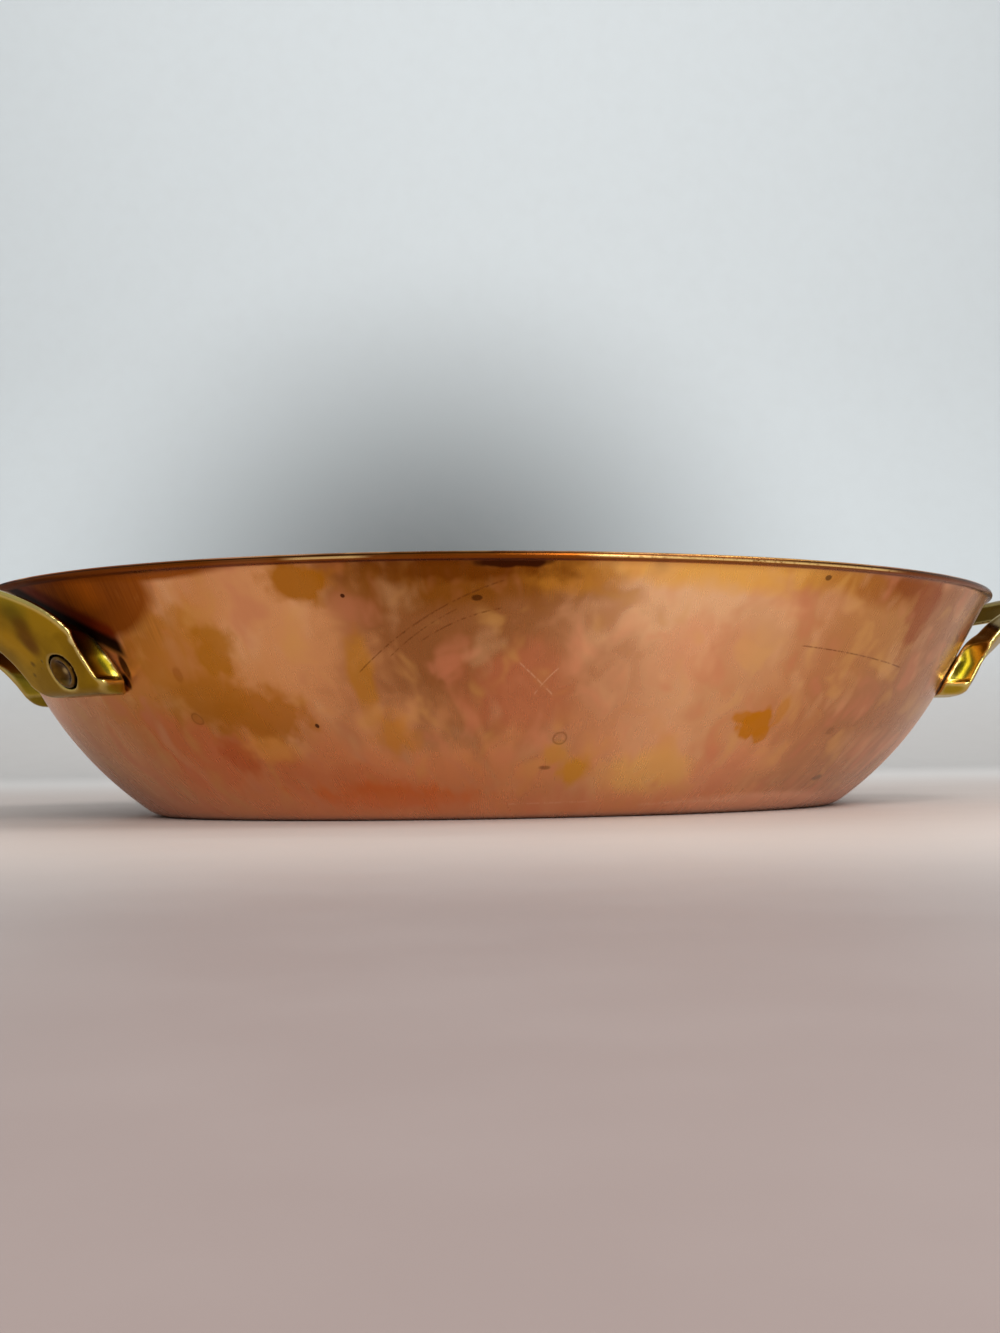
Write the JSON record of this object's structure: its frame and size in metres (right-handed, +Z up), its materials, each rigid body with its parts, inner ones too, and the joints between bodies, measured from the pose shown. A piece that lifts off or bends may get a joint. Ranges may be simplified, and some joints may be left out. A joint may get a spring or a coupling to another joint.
{
  "type": "gratin pan",
  "caption": "Oval copper gratin pan with sloping walls, a tin-lined inside and cast brass loop handles riveted to its ends.",
  "frame": {"origin": "on the table under the middle of the pan, at the underside of the base", "axes": "+X along the pan's long axis through both handles, +Z up, -Y towards the side that the picture shows"},
  "size_m": [0.3048, 0.198, 0.0545],
  "materials": {
    "copper": "satin copper with a mottled, heat-tinted patina and fine scratches",
    "tin": "hand-wiped tin, dull and slightly streaked",
    "brass": "polished cast brass with rounded edges and a few casting pits",
    "rivet_brass": "hammered and filed flush, darker than the handles"
  },
  "bodies": {
    "root": {"pan_body": "copper", "tin_lining": "tin", "right_handle": "brass", "left_handle": "brass", "right_front_rivet": "rivet_brass", "right_back_rivet": "rivet_brass", "left_front_rivet": "rivet_brass", "left_back_rivet": "rivet_brass"}
  },
  "joints": []
}
